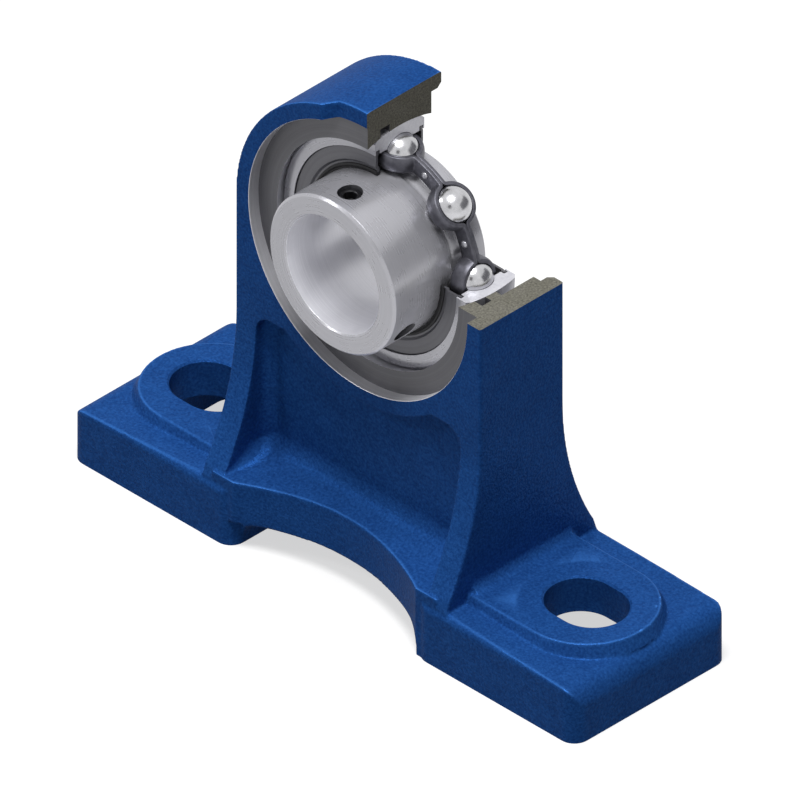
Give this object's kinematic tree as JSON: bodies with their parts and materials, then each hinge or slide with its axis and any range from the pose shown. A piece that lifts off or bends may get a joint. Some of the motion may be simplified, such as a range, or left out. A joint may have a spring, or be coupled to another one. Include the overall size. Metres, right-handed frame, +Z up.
{
  "type": "pillow block bearing",
  "caption": "Cutaway pillow block: cast housing on two slotted feet holds a self-aligning ball bearing insert with a long inner ring and set screws.",
  "frame": {"origin": "centre of the base, on the plane that the feet rest on", "axes": "+X along the feet, towards the side with the cut-away quarter; +Y along the shaft, away from the set screws; +Z up"},
  "size_m": [0.163, 0.05, 0.1295],
  "materials": {
    "painted_iron": "satin blue paint over rough cast iron, bare where cut",
    "ground_steel": "ground bearing steel",
    "shield_steel": "dark pressed steel",
    "black_rubber": "matt nitrile rubber",
    "black_oxide": "black oxide",
    "cage_steel": "pressed sheet steel, oiled",
    "rivet_steel": "plain steel",
    "polished_steel": "polished"
  },
  "bodies": {
    "housing": {"housing": "painted_iron"},
    "insert": {"outer_ring": "ground_steel", "front_shield": "shield_steel", "rear_shield": "shield_steel", "front_lip": "black_rubber", "rear_lip": "black_rubber"},
    "shaft_ring": {"inner_ring": "ground_steel", "set_screw_top": "black_oxide", "set_screw_side": "black_oxide"},
    "cage": {"cage_front": "cage_steel", "cage_rear": "cage_steel", "cage_rivets": "rivet_steel"},
    "ball_1": {"ball_1": "polished_steel"},
    "ball_2": {"ball_2": "polished_steel"},
    "ball_3": {"ball_3": "polished_steel"},
    "ball_4": {"ball_4": "polished_steel"},
    "ball_5": {"ball_5": "polished_steel"},
    "ball_6": {"ball_6": "polished_steel"},
    "ball_7": {"ball_7": "polished_steel"},
    "ball_8": {"ball_8": "polished_steel"}
  },
  "joints": [
    {"name": "align_tilt", "type": "hinge", "parent": "housing", "child": "insert", "pos_m": [0, 0, 0.09], "axis": [1, 0, 0], "range_deg": [-2, 2]},
    {"name": "shaft_spin", "type": "hinge", "parent": "insert", "child": "shaft_ring", "pos_m": [0, 0, 0.09], "axis": [0, 1, 0], "continuous": true},
    {"name": "cage_orbit", "type": "hinge", "parent": "insert", "child": "cage", "pos_m": [0, 0, 0.09], "axis": [0, 1, 0], "continuous": true},
    {"name": "ball_1_roll", "type": "hinge", "parent": "cage", "child": "ball_1", "pos_m": [0, 0, 0.11375], "axis": [0, 1, 0], "continuous": true},
    {"name": "ball_2_roll", "type": "hinge", "parent": "cage", "child": "ball_2", "pos_m": [0.01679, 0, 0.10679], "axis": [0, 1, 0], "continuous": true},
    {"name": "ball_3_roll", "type": "hinge", "parent": "cage", "child": "ball_3", "pos_m": [0.02375, 0, 0.09], "axis": [0, 1, 0], "continuous": true},
    {"name": "ball_4_roll", "type": "hinge", "parent": "cage", "child": "ball_4", "pos_m": [0.01679, 0, 0.07321], "axis": [0, 1, 0], "continuous": true},
    {"name": "ball_5_roll", "type": "hinge", "parent": "cage", "child": "ball_5", "pos_m": [0, 0, 0.06625], "axis": [0, 1, 0], "continuous": true},
    {"name": "ball_6_roll", "type": "hinge", "parent": "cage", "child": "ball_6", "pos_m": [-0.01679, 0, 0.07321], "axis": [0, 1, 0], "continuous": true},
    {"name": "ball_7_roll", "type": "hinge", "parent": "cage", "child": "ball_7", "pos_m": [-0.02375, 0, 0.09], "axis": [0, 1, 0], "continuous": true},
    {"name": "ball_8_roll", "type": "hinge", "parent": "cage", "child": "ball_8", "pos_m": [-0.01679, 0, 0.10679], "axis": [0, 1, 0], "continuous": true}
  ],
  "couplings": [
    {"joint": "cage_orbit", "follows": "shaft_spin", "ratio": 0.4},
    {"joint": "ball_1_roll", "follows": "shaft_spin", "ratio": -2.4},
    {"joint": "ball_2_roll", "follows": "shaft_spin", "ratio": -2.4},
    {"joint": "ball_3_roll", "follows": "shaft_spin", "ratio": -2.4},
    {"joint": "ball_4_roll", "follows": "shaft_spin", "ratio": -2.4},
    {"joint": "ball_5_roll", "follows": "shaft_spin", "ratio": -2.4},
    {"joint": "ball_6_roll", "follows": "shaft_spin", "ratio": -2.4},
    {"joint": "ball_7_roll", "follows": "shaft_spin", "ratio": -2.4},
    {"joint": "ball_8_roll", "follows": "shaft_spin", "ratio": -2.4}
  ]
}
